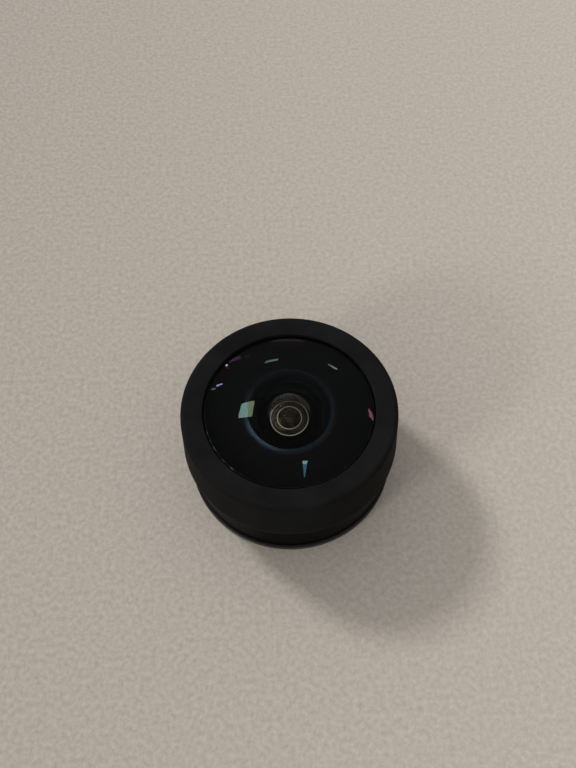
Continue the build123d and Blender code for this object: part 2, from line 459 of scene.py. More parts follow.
@dataclass(frozen=True)
class AnodisedMetal:
    """Black anodised aluminium: a fine blasted grain, turning lines and a faint unevenness."""

    name: str
    colour: Colour
    roughness: float
    sheen: float
    grain_size: float = 0.09 * MM
    grain_depth: float = 0.004 * MM
    groove_size: float = 0.1 * MM
    groove_depth: float = 0.0
    cloud_size: float = 6 * MM
    unevenness: float = 0.12
    dark_share: float = 0.8
    light_share: float = 1.25

    def material(self) -> bpy.types.Material:
        """Builds the material.

        Returns:
            The material.
        """
        sheet = NodeSheet.paint(self.name)
        cloud = sheet.noise(sheet.place(), self.cloud_size, 4.0)
        dark, light = scaled(self.colour, self.dark_share), scaled(self.colour, self.light_share)
        normal = sheet.grain(self.grain_size, self.grain_depth)
        if self.groove_depth:
            lines = sheet.noise(sheet.round_place(), self.groove_size, 3.0)
            normal = sheet.bump(lines, self.groove_depth, normal)
        uneven = sheet.math("MULTIPLY", cloud, self.unevenness)
        settings = {
            "Base Color": sheet.ramp(cloud, [(0.3, dark), (0.7, light)]),
            "Roughness": sheet.math("ADD", uneven, self.roughness - self.unevenness / 2),
            "Specular IOR Level": self.sheen,
            "Normal": normal,
        }
        return sheet.finish("BsdfPrincipled", settings)


@dataclass(frozen=True)
class DullBlack:
    """Dead black film, ink or rubber that keeps stray light down."""

    name: str
    colour: Colour
    roughness: float = 0.9
    sheen: float = 0.1
    grain_size: float = 0.05 * MM
    grain_depth: float = 0.003 * MM
    dark_share: float = 0.7

    def material(self) -> bpy.types.Material:
        """Builds the material.

        Returns:
            The material.
        """
        sheet = NodeSheet.paint(self.name)
        grain = sheet.noise(sheet.place(), self.grain_size, 3.0)
        dark = scaled(self.colour, self.dark_share)
        settings = {
            "Base Color": sheet.ramp(grain, [(0.35, dark), (0.65, self.colour)]),
            "Roughness": self.roughness,
            "Specular IOR Level": self.sheen,
            "Normal": sheet.bump(grain, self.grain_depth),
        }
        return sheet.finish("BsdfPrincipled", settings)


@dataclass(frozen=True)
class CoatedGlass:
    """Polished optical glass whose coating tints its reflections by angle."""

    name: str
    index: float
    tint: Colour
    square_on: Colour
    half_way: Colour
    glancing: Colour

    def material(self) -> bpy.types.Material:
        """Builds the material.

        Returns:
            The material.
        """
        sheet = NodeSheet.paint(self.name)
        facing = sheet.add("ShaderNodeLayerWeight", {"Blend": 0.5}).outputs["Facing"]
        stops = [(0.05, self.square_on), (0.3, self.half_way), (0.6, self.glancing)]
        settings = {
            "Base Color": (*self.tint, 1.0),
            "Roughness": 0.0,
            "IOR": self.index,
            "Transmission Weight": 1.0,
            "Specular Tint": sheet.ramp(facing, stops),
        }
        return sheet.finish("BsdfPrincipled", settings)


@dataclass(frozen=True)
class InkedBevel:
    """The inked bevel behind the glass, with a bluish gloss that fades outward."""

    name: str
    colour: Colour
    gloss: Colour
    roughness: float
    sheen: float
    inner_radius: float
    outer_radius: float
    cloud_size: float = 1.5 * MM
    grain_size: float = 0.08 * MM
    grain_depth: float = 0.001 * MM
    dark_share: float = 0.7
    faded_share: float = 0.15

    def material(self) -> bpy.types.Material:
        """Builds the material.

        Returns:
            The material.
        """
        sheet = NodeSheet.paint(self.name)
        cloud = sheet.noise(sheet.place(), self.cloud_size, 3.0)
        dark, faded = scaled(self.colour, self.dark_share), scaled(self.gloss, self.faded_share)
        width = self.outer_radius - self.inner_radius
        outward = sheet.math("DIVIDE", sheet.math("SUBTRACT", sheet.reach(), self.inner_radius), width)
        settings = {
            "Base Color": sheet.ramp(cloud, [(0.3, dark), (0.7, self.colour)]),
            "Roughness": self.roughness,
            "Specular IOR Level": self.sheen,
            "Specular Tint": sheet.ramp(outward, [(0.25, self.gloss), (1.0, faded)]),
            "Normal": sheet.grain(self.grain_size, self.grain_depth),
        }
        return sheet.finish("BsdfPrincipled", settings)


@dataclass(frozen=True)
class EdgeHighlightRing:
    """Dead black anodising with a thin painted highlight along the edge of a ring's mouth, broken up
    unevenly.
    """

    name: str
    colour: Colour
    highlight_colour: Colour
    edge_radius: float
    edge_width: float
    break_size: float = 0.6 * MM
    break_share: float = 0.8
    grain_size: float = 0.07 * MM
    grain_depth: float = 0.002 * MM

    def material(self) -> bpy.types.Material:
        """Builds the material.

        Returns:
            The material.
        """
        sheet = NodeSheet.paint(self.name)
        # Painted highlight: a paler line at the mouth's edge radius, standing for the light that edge
        # catches.
        off = sheet.math("ABSOLUTE", sheet.math("SUBTRACT", sheet.reach(), self.edge_radius))
        uneven = sheet.noise(sheet.place(), self.break_size, 3.0)
        breaks = sheet.math("MULTIPLY", uneven, self.break_share * self.edge_width)
        line = sheet.math("DIVIDE", sheet.math("ADD", off, breaks), self.edge_width)
        settings = {
            "Base Color": sheet.ramp(line, [(0.55, self.highlight_colour), (0.95, self.colour)]),
            "Roughness": 0.8,
            "Specular IOR Level": 0.0,
            "Normal": sheet.grain(self.grain_size, self.grain_depth),
        }
        return sheet.finish("BsdfPrincipled", settings)


@dataclass(frozen=True)
class GroundEdge:
    """A finely ground glass edge, or a bright cut edge, that catches the light."""

    name: str
    colour: Colour
    roughness: float = 0.5
    metallic: float = 0.0
    grain_size: float = 0.05 * MM
    grain_depth: float = 0.002 * MM
    dark_share: float = 0.8

    def material(self) -> bpy.types.Material:
        """Builds the material.

        Returns:
            The material.
        """
        sheet = NodeSheet.paint(self.name)
        grain = sheet.noise(sheet.place(), self.grain_size)
        dark = scaled(self.colour, self.dark_share)
        settings = {
            "Base Color": sheet.ramp(grain, [(0.3, dark), (0.7, self.colour)]),
            "Roughness": self.roughness,
            "Metallic": self.metallic,
            "Normal": sheet.bump(grain, self.grain_depth),
        }
        return sheet.finish("BsdfPrincipled", settings)


@dataclass(frozen=True)
class GlintDashEdge:
    """A glass's inked edge, with a painted highlight in short pale dashes along one side, where that side's
    edge would catch the light.
    """

    name: str
    colour: Colour
    glint_colour: Colour
    glint_side: float
    dash_size: float = 1.3 * MM
    dash_share: float = 1.1
    ink_left: float = 0.8
    grain_size: float = 0.05 * MM
    grain_depth: float = 0.002 * MM

    def material(self) -> bpy.types.Material:
        """Builds the material.

        Returns:
            The material.
        """
        sheet = NodeSheet.paint(self.name)
        spot = sheet.place()
        outward = sheet.add("ShaderNodeVectorMath", {0: spot}, operation="NORMALIZE").outputs[0]
        side = sheet.along(outward, toward_sky(self.glint_side, 0))
        glint_dashes = sheet.math("MULTIPLY", sheet.noise(spot, self.dash_size, 3.0), self.dash_share)
        # Painted highlight: the edge turns pale in dashes on one side only, where light would catch it.
        glint_mask = sheet.math("SUBTRACT", sheet.math("ADD", side, glint_dashes), self.ink_left)
        settings = {
            "Base Color": sheet.ramp(glint_mask, [(0.35, self.colour), (0.75, self.glint_colour)]),
            "Roughness": 0.5,
            "Normal": sheet.grain(self.grain_size, self.grain_depth),
        }
        return sheet.finish("BsdfPrincipled", settings)


class Coat(Enum):
    """Named choices of a material, each built once."""

    def __init__(self, recipe: object) -> None:
        """Keeps the material's recipe."""
        self.recipe = recipe
        self.made: Optional[bpy.types.Material] = None

    @property
    def material(self) -> bpy.types.Material:
        """The material, built on first use.

        Returns:
            The material.
        """
        if self.made is None:
            self.made = self.recipe.material()
        return self.made


class Finish(Coat):
    """The finishes of the lens."""

    BEZEL = AnodisedMetal("bezel_anodised", (0.0108, 0.0111, 0.0117), 0.6, 0.018)
    # Painted highlight: a paler band at the bezel's lower edge, standing for the light caught there.
    BEZEL_EDGE_HIGHLIGHT = AnodisedMetal("bezel_painted_edge_highlight", (0.016, 0.0163, 0.0168), 0.5, 0.02)
    # Much darker than the bezel: partly the band's own glossier finish, partly painted shade for the recess
    # under the bezel's overhang.
    HOUSING = AnodisedMetal(
        "housing_anodised", (0.0018, 0.0021, 0.0027), 0.3, 0.011, groove_depth=0.002 * MM
    )
    # Paler than the bezel: partly the foot's own finish, partly painted light for the bright floor its lower
    # edge mirrors.
    FOOT = AnodisedMetal("foot_anodised", (0.027, 0.0258, 0.026), 0.4, 0.3, groove_depth=0.004 * MM)
    BARREL = AnodisedMetal("barrel_anodised", (0.0007, 0.0007, 0.0007), 0.85, 0.0)
    # The retainer's pale mouth line is a painted highlight.
    RETAINER = EdgeHighlightRing(
        "retainer_anodised", (0.0008, 0.0008, 0.0008), (0.006, 0.006, 0.006), 5.9 * MM, 0.12 * MM
    )
    FILM = DullBlack("baffle_film", (0.0008, 0.0008, 0.0008), 0.9, 0.0)
    RUBBER = DullBlack("seal_rubber", (0.006, 0.006, 0.006), 0.7, 0.3)
    INK = DullBlack("glass_edge_ink", (0.03, 0.03, 0.031), 1.0, 0.0)
    REAR_INK = DullBlack("glass_rear_ink", (0.0048, 0.0049, 0.0046), 1.0, 0.0)
    LENS_INK = DullBlack("lens_edge_ink", (0.02, 0.0205, 0.0175), 1.0, 0.0, 0.3 * MM)
    BEVEL = InkedBevel(
        "inked_bevel", (0.003, 0.003, 0.0035), (0.48, 0.76, 1.0), 0.25, 0.16, 6.7 * MM, 7.75 * MM
    )
    SCREW = GroundEdge("screw_black_oxide", (0.05, 0.05, 0.053), 0.35, 1.0)
    # The rim's pale dashes on the left are a painted highlight.
    RIM = GlintDashEdge("glass_rim_edge", (0.02, 0.02, 0.02), (0.5, 0.5, 0.5), -112.0)
    LENS_RIM = GroundEdge("lens_rim_edge", (0.8, 0.79, 0.7))


class Glass(Coat):
    """The coated glasses of the lens."""

    FRONT = CoatedGlass(
        "front_glass", 1.7, (1.0, 1.0, 1.0), (0.8, 0.88, 0.83), (0.8, 0.96, 1.0), (1.0, 0.75, 0.9)
    )
    BOWL = CoatedGlass(
        "bowl_glass", 1.7, (1.0, 1.0, 1.0), (0.08, 0.05, 0.02), (0.07, 0.05, 0.025), (0.06, 0.05, 0.03)
    )
    SECOND = CoatedGlass(
        "second_glass",
        1.6,
        (1.0, 1.0, 0.96),
        (0.05, 0.045, 0.03),
        (0.045, 0.045, 0.032),
        (0.04, 0.045, 0.035),
    )
    INNER = CoatedGlass(
        "inner_glass",
        1.6,
        (0.68, 0.68, 0.63),
        (0.025, 0.02, 0.018),
        (0.022, 0.02, 0.02),
        (0.02, 0.02, 0.022),
    )


@dataclass
class FrontBezel:
    """The turned cap: a flat face, a rounded edge and a slightly flared side."""

    edge_round: float = 0.7 * MM
    flare: float = 0.5 * MM
    lip_bore: float = 15.1 * MM
    lip_bevel: float = 0.15 * MM
    lip_thickness: float = 1.5 * MM
    lower_bevel: float = 0.08 * MM
    highlight_height: float = 0.4 * MM
    pocket: float = 16.3 * MM
    bore: float = 17.5 * MM
    corner_round: float = 0.4 * MM

    def profile(self) -> Profile:
        """Works out the outline, counter-clockwise from the lip's bore.

        Returns:
            The outline, with its corners rounded.
        """
        face, low = top_of("front_bezel"), bottom_of("front_bezel")
        outer, seat = radius_of("front_bezel"), top_of("main_barrel")
        top_edge = outer - self.flare
        outline = Profile(self.lip_bore, face - self.lip_thickness)
        outline.to(self.pocket, face - self.lip_thickness).to(self.pocket, seat).to(self.bore, seat)
        outline.to(self.bore, low).to(outer - self.lower_bevel, low).to(outer, low + self.lower_bevel)
        side_slope = self.flare / (face - low)
        # Painted highlight: the lowest band of the side takes the paler finish 1.
        outline.to(outer - side_slope * self.highlight_height, low + self.highlight_height, 1)
        outline.to(top_edge + side_slope * self.edge_round, face - self.edge_round)
        outline.to(top_edge - 0.3 * self.edge_round, face - 0.3 * self.edge_round)
        outline.to(top_edge - self.edge_round, face)
        outline.to(self.lip_bore + self.lip_bevel, face).to(self.lip_bore, face - self.lip_bevel)
        return outline.close()

    def build(self) -> bpy.types.Object:
        """Builds the cap.

        Returns:
            The piece.
        """
        mesh = turned_mesh("bezel", self.profile().rounded(self.corner_round))
        finishes = [Finish.BEZEL.material, Finish.BEZEL_EDGE_HIGHLIGHT.material]
        return place("bezel", mesh, finishes, "front_bezel")


@dataclass
class FrontGlass:
    """The domed meniscus: coated dome and bowl, inked rim and seat, ground bevel."""

    dome_radius: float = 14.85 * MM
    dome_curve: float = 32.0 * MM
    bowl_radius: float = 6.7 * MM
    bowl_curve: float = 8.2 * MM
    bevel_width: float = 1.05 * MM
    bevel_height: float = 0.34 * MM
    outer_width: float = 0.5 * MM
    outer_height: float = 0.085 * MM
    flange_thickness: float = 1.8 * MM
    rim_bevel: float = 0.12 * MM

    def profile(self) -> Profile:
        """Works out the outline, from the dome's apex round to the bowl's.

        Returns:
            The outline; finish 0 is the dome, 1 inked, 2 the bevel, 3 the rim's thin bevel, 4 the bowl
            and 5 the inked land behind.
        """
        seat, apex = bottom_of("front_element") + SEAT_GAP, top_of("front_element")
        flange = radius_of("front_element") - SEAT_GAP
        ledge = seat + self.flange_thickness
        dome_edge = apex - sag(self.dome_curve, self.dome_radius)
        inner_edge = self.dome_radius - self.rim_bevel
        bowl_edge = seat + self.bevel_height
        outline = Profile(0, apex)
        outline.bow(inner_edge, self.dome_curve, 0, 72)
        outline.to(self.dome_radius, dome_edge - self.rim_bevel, 3)
        outline.to(self.dome_radius, ledge, 1).to(flange, ledge, 1).to(flange, seat, 1)
        outline.to(self.bowl_radius + self.bevel_width, seat, 5)
        arc_end = self.bowl_radius + self.bevel_width - self.outer_width
        outline.level_arc(arc_end, seat + self.outer_height, 2)
        outline.to(self.bowl_radius, bowl_edge, 2, 4)
        return outline.bow(0, self.bowl_curve, 4, 56)

    def build(self) -> bpy.types.Object:
        """Builds the glass.

        Returns:
            The piece.
        """
        finishes = [
            Glass.FRONT.material,
            Finish.INK.material,
            Finish.BEVEL.material,
            Finish.RIM.material,
            Glass.BOWL.material,
            Finish.REAR_INK.material,
        ]
        mesh = turned_mesh("front_glass", self.profile())
        return place("front_glass", mesh, finishes, "front_element")


@dataclass
class InnerOptics:
    """The small lenses behind the front glass, and the rings that hold them."""

    second_aperture: float = 4.56 * MM
    second_edge: float = 1.25 * MM
    second_bowl: float = 2.63 * MM
    second_bowl_curve: float = 3.2 * MM
    edge_bevel: float = 0.125 * MM
    third_aperture: float = 4.6 * MM
    third_front_curve: float = 9.0 * MM
    third_rear_curve: float = 14.0 * MM
    rear_aperture: float = 3.4 * MM
    crown_curve: float = 16.0 * MM
    cement_curve: float = 9.0 * MM
    rear_curve: float = 15.0 * MM
    segments: int = 128
    pieces: list[bpy.types.Object] = field(default_factory=list)

    def ends(self, node: str) -> tuple[float, float, float]:
        """A packed lens's top, bottom and radius."""
        return top_of(node), bottom_of(node), radius_of(node)

    def second(self) -> Profile:
        """The small negative meniscus, with thin ground bevels at its two edges.

        Returns:
            Its outline.
        """
        top, low, rim = self.ends("second_element")
        ledge, low, rim = low + self.second_edge - SEAT_GAP, low + SEAT_GAP, rim - SEAT_GAP
        reach, drop = self.second_aperture - self.edge_bevel, top - ledge - self.edge_bevel
        outline = Profile(0, top).bow(reach, (reach**2 + drop**2) / (2 * drop), 0, 40)
        outline.to(self.second_aperture, ledge, 2).to(rim, ledge, 1).to(rim, low, 1)
        outline.to(self.second_bowl + self.edge_bevel, low, 3)
        outline.to(self.second_bowl, low + self.edge_bevel, 2)
        outline.bow(0, self.second_bowl_curve, 0, 32)
        return outline

    def third(self) -> Profile:
        """The biconvex lens with a flat ledge on each side.

        Returns:
            Its outline.
        """
        top, low, rim = self.ends("third_element")
        upper = top - sag(self.third_front_curve, self.third_aperture)
        lower = low + sag(self.third_rear_curve, self.third_aperture)
        rim -= SEAT_GAP
        outline = Profile(0, top).bow(self.third_aperture, self.third_front_curve, 0, 32)
        outline.to(rim, upper, 1).to(rim, lower, 1).to(self.third_aperture, lower, 1)
        return outline.bow(0, -self.third_rear_curve, 0, 32)

    def crown(self) -> Profile:
        """The front half of the cemented pair.

        Returns:
            Its outline.
        """
        top, low, rim = self.ends("doublet_crown")
        upper = top - sag(self.crown_curve, self.rear_aperture)
        outline = Profile(0, top).bow(self.rear_aperture, self.crown_curve, 0, 24)
        outline.to(rim, upper, 1).to(rim, low + sag(self.cement_curve, rim), 1)
        return outline.bow(0, -self.cement_curve, 0, 24)

    def flint(self) -> Profile:
        """The rear half of the cemented pair, flat behind.

        Returns:
            Its outline.
        """
        top, low, rim = self.ends("doublet_flint")
        outline = Profile(0, top - sag(self.cement_curve, rim))
        outline.bow(rim, -self.cement_curve, 0, 24)
        return outline.to(rim, low, 1).to(0, low, 0)

    def rear(self) -> Profile:
        """The plano-convex rear lens.

        Returns:
            Its outline.
        """
        top, low, rim = self.ends("rear_element")
        upper = top - sag(self.rear_curve, self.rear_aperture)
        outline = Profile(0, top).bow(self.rear_aperture, self.rear_curve, 0, 24)
        return outline.to(rim, upper, 1).to(rim, low, 1).to(0, low, 0)

    def build(self) -> list[bpy.types.Object]:
        """Builds the lenses and dresses the rings between them.

        Returns:
            The new pieces.
        """
        ink, rim = Finish.REAR_INK.material, Finish.LENS_RIM.material
        second, inner = Glass.SECOND.material, Glass.INNER.material
        table = [
            ("second_glass", self.second(), [second, ink, rim, Finish.LENS_INK.material], "second_element"),
            ("third_glass", self.third(), [inner, ink], "third_element"),
            ("crown_glass", self.crown(), [inner, ink], "doublet_crown"),
            ("flint_glass", self.flint(), [inner, ink], "doublet_flint"),
            ("rear_glass", self.rear(), [inner, ink], "rear_element"),
        ]
        for name, outline, finishes, node in table:
            mesh = turned_mesh(name, outline, segments=self.segments)
            self.pieces.append(place(name, mesh, finishes, node))
        dress("second_retainer", Finish.RETAINER.material)
        for node in ("second_spacer", "stop_spacer", "rear_spacer", "rear_retainer"):
            dress(node, Finish.BARREL.material)
        dress("stop_plate", Finish.FILM.material)
        return self.pieces


@dataclass
class Barrel:
    """The barrel that carries the optics, with its seals and screws."""

    def build(self) -> None:
        """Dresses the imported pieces."""
        dress("main_barrel", Finish.BARREL.material)
        dress("front_baffle", Finish.FILM.material)
        for node in ("front_seal", "body_o_ring", "mount_gasket"):
            dress(node, Finish.RUBBER.material)
        for node in ("barrel_screws", "mount_screws"):
            dress(node, Finish.SCREW.material)


@dataclass
class MountRing:
    """The mounting ring: a flange with four sunk screw holes, a collar and a fine inner thread."""

    bottom_bevel: float = 0.3 * MM
    flange_thickness: float = 1.3 * MM
    collar_radius: float = 15.5 * MM
    bore: float = 14.6 * MM
    thread_pitch: float = 0.75 * MM
    thread_depth: float = 0.35 * MM
    thread_lead_in: float = 0.4 * MM
    rows_per_turn: int = 12
    groove_slope: float = 1.6
    groove_start: float = 0.3
    screw_circle: float = 17.075 * MM
    screw_count: int = 4
    head_hole: float = 1.3 * MM
    shank_hole: float = 0.9 * MM
    head_depth: float = 0.8 * MM
    hole_segments: int = 40

    def thread(self, radius: float, height: float, angle: float) -> float:
        """The depth of the thread's groove.

        Args:
            radius: The point's distance from the axis.
            height: Its height.
            angle: Its angle about the axis.

        Returns:
            The depth on the bore, and 0 elsewhere.
        """
        if radius > self.bore + TINY:
            return 0.0
        collar = top_of("mount_ring")
        ends = min(height, collar - height) / self.thread_lead_in
        turn = (height / self.thread_pitch - angle / (2 * math.pi)) % 1
        groove = min(max(abs(2 * turn - 1) * self.groove_slope - self.groove_start, 0), 1)
        return self.thread_depth * groove * min(max(ends, 0), 1)

    def profile(self) -> Profile:
        """Works out the outline, from the foot of the bore round to its top.

        Returns:
            The outline.
        """
        flange, collar = radius_of("mount_ring"), top_of("mount_ring")
        outline = Profile(self.bore, 0).to(flange - self.bottom_bevel, 0).to(flange, self.bottom_bevel)
        outline.to(flange, self.flange_thickness).to(self.collar_radius, self.flange_thickness)
        outline.to(self.collar_radius, collar).to(self.bore, collar)
        turns = collar / self.thread_pitch
        return outline.to(self.bore, 0, 0, round(turns * self.rows_per_turn))

    def hole(self, name: str) -> bpy.types.Object:
        """Makes the cutter of a screw hole: a shank's bore with a wider seat for the head.

        Args:
            name: The cutter's name.

        Returns:
            The cutter, on the axis.
        """
        past = 0.2 * MM
        outline = Profile(0, self.flange_thickness + past)
        outline.to(self.shank_hole, self.flange_thickness + past).to(self.shank_hole, self.head_depth)
        outline.to(self.head_hole, self.head_depth).to(self.head_hole, -past).to(0, -past)
        return bpy.data.objects.new(name, turned_mesh(name, outline, segments=self.hole_segments))

    def build(self) -> bpy.types.Object:
        """Builds the ring and cuts its screw holes.

        Returns:
            The piece.
        """
        mesh = turned_mesh("mounting_ring", self.profile(), self.thread)
        ring = place("mounting_ring", mesh, [Finish.FOOT.material], "mount_ring")
        for index in range(self.screw_count):
            angle = 2 * math.pi * index / self.screw_count
            cutter = self.hole(f"hole_{index}")
            cutter.location = self.screw_circle * Vector((math.cos(angle), math.sin(angle), 0))
            bpy.context.scene.collection.objects.link(cutter)
            cut = ring.modifiers.new(cutter.name, "BOOLEAN")
            cut.operation, cut.solver, cut.object = "DIFFERENCE", "MANIFOLD", cutter
            bpy.context.view_layer.update()
            result = ring.evaluated_get(bpy.context.evaluated_depsgraph_get())
            shape = bpy.data.meshes.new_from_object(result)
            ring.modifiers.clear()
            ring.data = shape
            bpy.data.objects.remove(cutter)
        ring.data.name = ring.name
        ring.data.set_sharp_from_angle(angle=SHARP_ANGLE)
        return ring


@dataclass
class Housing:
    """The glossier black band under the bezel."""

    def build(self) -> None:
        """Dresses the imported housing."""
        dress("base_shell", Finish.HOUSING.material)


@dataclass
class PhotoCamera:
    """The camera at the photograph's viewing angle."""

    focal: float = 42.19
    pitch: float = 60.68
    roll: float = -1.89
    back: float = 73.0 * MM
    above_face: float = 138.5 * MM
    aside: float = -0.06 * MM
    long_side: int = 768
    short_side: int = 576
    sensor: float = 36.0
    clip_start: float = 0.005
    clip_end: float = 20.0

    def matrix(self) -> Matrix:
        """Where the camera stands and how it is turned.

        Returns:
            The camera's matrix in the world.
        """
        spot = Vector((self.aside, -self.back, top_of("front_bezel") + self.above_face))
        tilt = Matrix.Rotation(math.radians(90 - self.pitch), 4, "X")
        return Matrix.Translation(spot) @ tilt @ Matrix.Rotation(math.radians(self.roll), 4, "Z")

    def ray(self, across: float, down: float) -> tuple[Vector, Vector]:
        """The line of sight through a pixel of the photograph's frame.

        Args:
            across: The pixel's place from the left.
            down: The pixel's place from the top.

        Returns:
            The camera's place and the unit direction.
        """
        reach = self.focal / self.sensor * self.long_side
        local = Vector((across - self.short_side / 2, self.long_side / 2 - down, -reach))
        matrix = self.matrix()
        return matrix.translation.copy(), (matrix.to_3x3() @ local).normalized()

    def build(self) -> bpy.types.Object:
        """Creates the camera.

        Returns:
            The camera.
        """
        data = bpy.data.cameras.new("photo_camera")
        data.lens, data.sensor_width = self.focal, self.sensor
        data.clip_start, data.clip_end = self.clip_start, self.clip_end
        camera = bpy.data.objects.new("photo_camera", data)
        camera.matrix_world = self.matrix()
        bpy.context.scene.collection.objects.link(camera)
        bpy.context.scene.camera = camera
        return camera


class Seen(Enum):
    """Where a bright card shows."""

    MIRRORED = "in the glass's outer face"
    THROUGH = "in what lies behind the glass"


@dataclass(frozen=True)
class Window:
    """A small bright card that shows in the front glass alone, over the named pixels of the photograph."""

    name: str
    corners: tuple[Point, ...]
    colour: Colour
    strength: float
    seen: Seen = Seen.MIRRORED


@dataclass(frozen=True)
class SkyPatch:
    """A bright part of the surroundings, a stretch of a sphere about the lens."""

    name: str
    azimuths: tuple[float, float]
    elevations: tuple[float, float]
    colour: Colour
    strength: float
    distance: float = 1.0
    columns: int = 12
    rows: int = 4

    def mesh(self) -> bpy.types.Mesh:
        """Makes the patch's mesh.

        Returns:
            The mesh, one face for each cell of the grid.
        """
        corners = []
        for row in range(self.rows + 1):
            elevation = self.elevations[0] + (self.elevations[1] - self.elevations[0]) * row / self.rows
            for column in range(self.columns + 1):
                share = column / self.columns
                azimuth = self.azimuths[0] + (self.azimuths[1] - self.azimuths[0]) * share
                corners.append(tuple(toward_sky(azimuth, elevation) * self.distance))
        wide = self.columns + 1
        faces = []
        for start in range(self.rows * wide):
            if (start + 1) % wide:
                faces.append((start, start + 1, start + 1 + wide, start + wide))
        mesh = bpy.data.meshes.new(self.name)
        mesh.from_pydata(corners, [], faces)
        return mesh


@dataclass(frozen=True)
class SoftLamp:
    """A soft square lamp that points at the lens from far off."""

    name: str
    azimuth: float
    elevation: float
    size: float
    share: float
    distance: float = 5.0
    colour: Colour = (1.0, 0.98, 0.95)

    def build(self) -> bpy.types.Object:
        """Creates the lamp.

        Its power gives a white floor the lamp's share of full brightness.

        Returns:
            The lamp.
        """
        direction = toward_sky(self.azimuth, self.elevation)
        data = bpy.data.lights.new(self.name, "AREA")
        data.shape = "SQUARE"
        data.size = self.size
        data.color = self.colour
        data.energy = self.share * (math.pi * self.distance) ** 2 / direction.z
        lamp = bpy.data.objects.new(self.name, data)
        lamp.location = direction * self.distance
        lamp.rotation_mode = "QUATERNION"
        lamp.rotation_quaternion = direction.to_track_quat("Z", "Y")
        lamp.visible_glossy = lamp.visible_transmission = False
        bpy.context.scene.collection.objects.link(lamp)
        return lamp


@dataclass
class Studio:
    """The pale floor, the soft lights and the small bright cards."""

    camera: PhotoCamera
    glass: FrontGlass
    front_piece: bpy.types.Object
    floor_size: float = 8.0
    floor_colour: Colour = (0.515, 0.468, 0.415)
    # Painted light: the floor's colour grows paler to the right, by this share over this width.
    painted_light_slope: float = 0.34
    painted_light_width: float = 448 * MM
    mottle: float = 0.8
    mottle_size: float = 0.9 * MM
    grain_size: float = 0.55 * MM
    grain_depth: float = 0.07 * MM
    card_distance: float = 0.6
    sky_colour: Colour = (1.0, 0.985, 0.97)
    horizon: float = 0.3
    zenith: float = 0.53
    side_glow: float = 0.25
    glow_azimuth: float = -20
    glow_elevation: float = 20
    glow_power: float = 3.0
    room_radius: float = 2.0
    room_span: float = 0.999
    room_segments: int = 48
    room_glow: float = 0.041
    inner_glow: float = 1.0
    blue_window: SkyPatch = SkyPatch("blue_window", (-158, -75), (14, 50), (0.78, 0.88, 1.0), 6.8)
    lamps: tuple[SoftLamp, ...] = (
        SoftLamp("window_light", -47, 39, 0.8, 0.285),
        SoftLamp("side_light", -126, 25, 1.0, 0.1),
    )
    windows: tuple[Window, ...] = (
        Window(
            "left_pane",
            ((238.4, 418.2), (240, 408.5), (241.5, 404.5), (244, 403), (248, 401.9), (248, 416.9)),
            (0.65, 1.0, 0.93),
            3.4,
        ),
        Window(
            "right_pane",
            ((248, 401.9), (255, 400.2), (253.2, 408.5), (252.1, 416), (248, 416.9)),
            (0.85, 1.0, 0.6),
            2.45,
        ),
        Window(
            "amber_pane",
            ((238.4, 418.2), (241.5, 404.5), (248, 401.9), (255, 400.2), (252.1, 416)),
            (1.0, 0.8, 0.5),
            22.0,
            Seen.THROUGH,
        ),
        Window(
            "teal_sliver",
            ((264.8, 362.4), (266, 361.2), (270, 359.8), (276, 358.8), (278.4, 358.2), (278.5, 359.6),
             (276, 361), (271.5, 361.9), (266.5, 362.9)),
            (0.75, 1.0, 0.92),
            1.5,
        ),
        Window(
            "white_sliver",
            ((327.8, 363.8), (329.4, 364.1), (333.5, 366.3), (337.4, 368.6), (336.9, 369.8), (335.2, 369.2),
             (331.6, 366.9), (328.2, 364.9)),
            (0.88, 1.0, 1.0),
            2.1,
        ),
        Window(
            "wedge_head", ((302.3, 460.9), (307.9, 460.9), (307, 464), (302.7, 464)), (0.5, 0.85, 1.0), 5.3
        ),
        Window(
            "wedge_tail",
            ((302.7, 464), (307, 464), (306, 469.5), (304.9, 477), (303.7, 477), (303.3, 470)),
            (0.25, 0.62, 1.0),
            2.5,
        ),
        Window(
            "magenta_pane",
            ((368.1, 408), (369, 408.6), (372.1, 413), (373.1, 419.8), (372.4, 420.9), (371.2, 418.5),
             (370.1, 417.5), (369, 415.9), (368.6, 412)),
            (1.0, 0.3, 0.55),
            2.5,
        ),
        Window(
            "pink_dot",
            ((224.6, 364.3), (226.9, 364), (228, 365.4), (227.9, 366.1), (225, 366.2)),
            (1.0, 0.8, 1.0),
            5.0,
        ),
        Window(
            "purple_streak",
            ((229, 361.5), (233, 358.6), (238, 356.4), (240.5, 356), (240.5, 359), (235, 361), (230, 362.8)),
            (0.95, 0.5, 1.0),
            0.4,
        ),
        Window(
            "plum_shade", ((233, 361.3), (240.5, 359), (240.5, 361.5), (234, 363.5)), (0.8, 0.1, 0.8), 0.14
        ),
        Window(
            "purple_tail", ((225, 366.5), (228.5, 366.5), (229.5, 368.8), (226, 369)), (0.9, 0.45, 0.9), 0.31
        ),
        Window(
            "blue_bar",
            ((216, 386.3), (216.4, 385.3), (218.5, 384.3), (220.2, 383.5), (222.4, 383.4), (222.2, 384.8),
             (219.2, 385.5), (218, 386.5)),
            (0.6, 0.55, 1.0),
            5.5,
        ),
        Window(
            "low_blue_bar",
            ((211, 389.2), (212.5, 388), (216, 388), (215.8, 389), (214.6, 390), (211.3, 390)),
            (0.7, 0.6, 1.0),
            1.6,
        ),
        Window(
            "far_wall",
            ((271.5, 342.5), (272, 339), (280, 338), (303, 338), (303.5, 342)),
            (1.0, 0.84, 0.88),
            0.15,
        ),
        Window(
            "far_shade", ((270, 346), (271.5, 342.5), (303.5, 342), (305, 346)), (1.0, 0.85, 0.95), 0.06
        ),
        Window(
            "grey_streak",
            ((243.5, 357.5), (246, 355.3), (250, 354.5), (251, 355.5), (248, 358)),
            (0.85, 0.85, 1.0),
            0.12,
        ),
        Window(
            "rust_shade",
            ((217, 370.5), (221, 367), (227, 370), (230, 374), (224, 375.5), (218, 374)),
            (1.0, 0.4, 0.3),
            0.07,
        ),
    )

